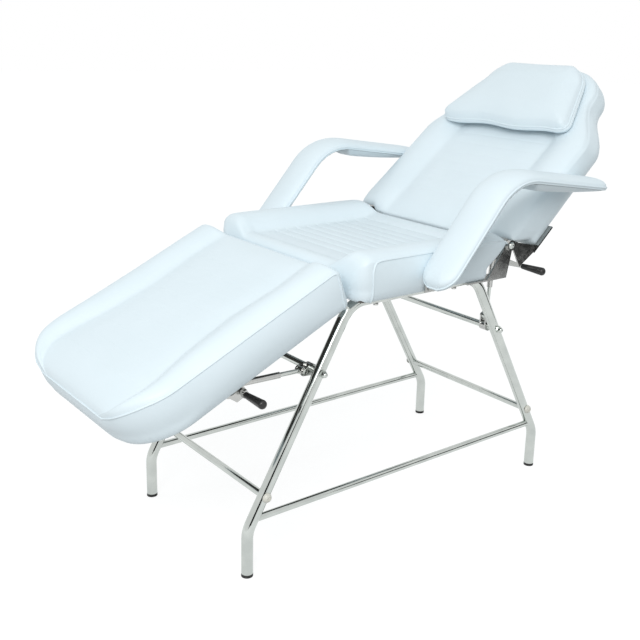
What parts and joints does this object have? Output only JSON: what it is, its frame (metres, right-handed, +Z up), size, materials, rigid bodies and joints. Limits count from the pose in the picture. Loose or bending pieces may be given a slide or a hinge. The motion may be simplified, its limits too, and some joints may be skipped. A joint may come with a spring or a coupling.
{
  "type": "facial table",
  "caption": "Reclining salon facial table: chromed tube base, padded seat with bent arms, hinged padded back with pillow and hinged leg rest, each on a strut with a release lever.",
  "frame": {"origin": "floor level, midway between the feet", "axes": "+X towards the head end, +Y to the lying client's right, +Z up"},
  "size_m": [1.4676, 0.754, 1.0465],
  "materials": {
    "white_vinyl": "smooth, slight sheen",
    "plywood": "dark edge",
    "chrome": "polished",
    "zinc_steel": "bright zinc",
    "black_plastic": "smooth",
    "black_rubber": "matte",
    "cream_plastic": "gloss"
  },
  "bodies": {
    "base": {"left_side_frame": "chrome", "right_side_frame": "chrome", "left_lower_stretcher": "chrome", "right_lower_stretcher": "chrome", "front_lower_crossbar": "chrome", "front_upper_crossbar": "chrome", "rear_upper_crossbar": "chrome", "rear_lower_crossbar": "chrome", "crossbar_tie_rods": "zinc_steel", "crossbar_washers": "chrome", "crossbar_acorn_nuts": "chrome", "crossbar_end_caps": "cream_plastic", "foot_tips": "black_rubber", "seat_bolts": "zinc_steel", "seat_board": "plywood", "seat_cushion": "white_vinyl", "left_seat_hinge_plate": "zinc_steel", "right_seat_hinge_plate": "zinc_steel", "back_hinge_bolts": "chrome", "back_hinge_nuts": "zinc_steel", "leg_hinge_seat_leaves": "zinc_steel", "leg_hinge_pins": "zinc_steel", "back_strut_clevis": "zinc_steel", "back_strut_pin": "zinc_steel", "leg_strut_clevis": "zinc_steel", "leg_strut_pin": "zinc_steel", "seat_screws": "zinc_steel", "left_arm_bracket": "zinc_steel", "left_arm_board": "plywood", "left_arm_pad": "white_vinyl", "left_arm_under_pad": "white_vinyl", "right_arm_bracket": "zinc_steel", "right_arm_board": "plywood", "right_arm_pad": "white_vinyl", "right_arm_under_pad": "white_vinyl", "arm_screws": "zinc_steel", "arm_bolts": "zinc_steel"},
    "back": {"left_back_hinge_plate": "zinc_steel", "right_back_hinge_plate": "zinc_steel", "back_board": "plywood", "back_cushion": "white_vinyl", "head_pillow": "white_vinyl", "back_strut_bracket": "zinc_steel", "back_screws": "zinc_steel"},
    "leg_rest": {"leg_board": "plywood", "leg_cushion": "white_vinyl", "leg_hinge_leg_leaves": "zinc_steel", "leg_strut_bracket": "zinc_steel", "leg_screws": "zinc_steel"},
    "back_strut_rod": {"back_strut_rod": "chrome"},
    "back_strut_sleeve": {"back_strut_sleeve": "zinc_steel"},
    "leg_strut_rod": {"leg_strut_rod": "chrome"},
    "leg_strut_sleeve": {"leg_strut_sleeve": "zinc_steel"},
    "back_lever": {"back_release_lever": "zinc_steel", "back_lever_grip": "black_plastic"},
    "leg_lever": {"leg_release_lever": "zinc_steel", "leg_lever_grip": "black_plastic"}
  },
  "joints": [
    {"name": "back_recline", "type": "hinge", "parent": "base", "child": "back", "pos_m": [0.235, 0, 0.646], "axis": [0, -1, 0], "range_deg": [-42, 28]},
    {"name": "leg_recline", "type": "hinge", "parent": "base", "child": "leg_rest", "pos_m": [-0.221, 0, 0.5687], "axis": [0, -1, 0], "range_deg": [-25, 10]},
    {"name": "back_strut_swing", "type": "hinge", "parent": "base", "child": "back_strut_rod", "pos_m": [0.2716, -0.185, 0.443], "axis": [0, -1, 0], "range_deg": [-4.42, 6.38]},
    {"name": "back_strut_slide", "type": "slide", "parent": "back_strut_rod", "child": "back_strut_sleeve", "axis": [0.0704, 0, 0.9975], "range_m": [-0.03182, 0.02155]},
    {"name": "leg_strut_swing", "type": "hinge", "parent": "base", "child": "leg_strut_rod", "pos_m": [-0.2956, -0.185, 0.419], "axis": [0, -1, 0], "range_deg": [-30.6, 12.54]},
    {"name": "leg_strut_slide", "type": "slide", "parent": "leg_strut_rod", "child": "leg_strut_sleeve", "axis": [-0.9996, 0, 0.0275], "range_m": [-0.02717, 0.06643]},
    {"name": "back_release", "type": "hinge", "parent": "back", "child": "back_lever", "pos_m": [0.29303, -0.2065, 0.58603], "axis": [-1, 0, 0], "range_deg": [0, 7], "stiffness_Nm_per_rad": 4, "springref_deg": -5.73},
    {"name": "leg_release", "type": "hinge", "parent": "leg_rest", "child": "leg_lever", "pos_m": [-0.45498, -0.2065, 0.41005], "axis": [-1, 0, 0], "range_deg": [0, 7], "stiffness_Nm_per_rad": 4, "springref_deg": -5.73}
  ],
  "couplings": [
    {"joint": "back_strut_swing", "follows": "back_recline", "ratio": -0.14},
    {"joint": "back_strut_slide", "follows": "back_recline", "m_per_rad": 0.04205},
    {"joint": "leg_strut_swing", "follows": "leg_recline", "ratio": 1.204},
    {"joint": "leg_strut_slide", "follows": "leg_recline", "m_per_rad": -0.14995}
  ]
}
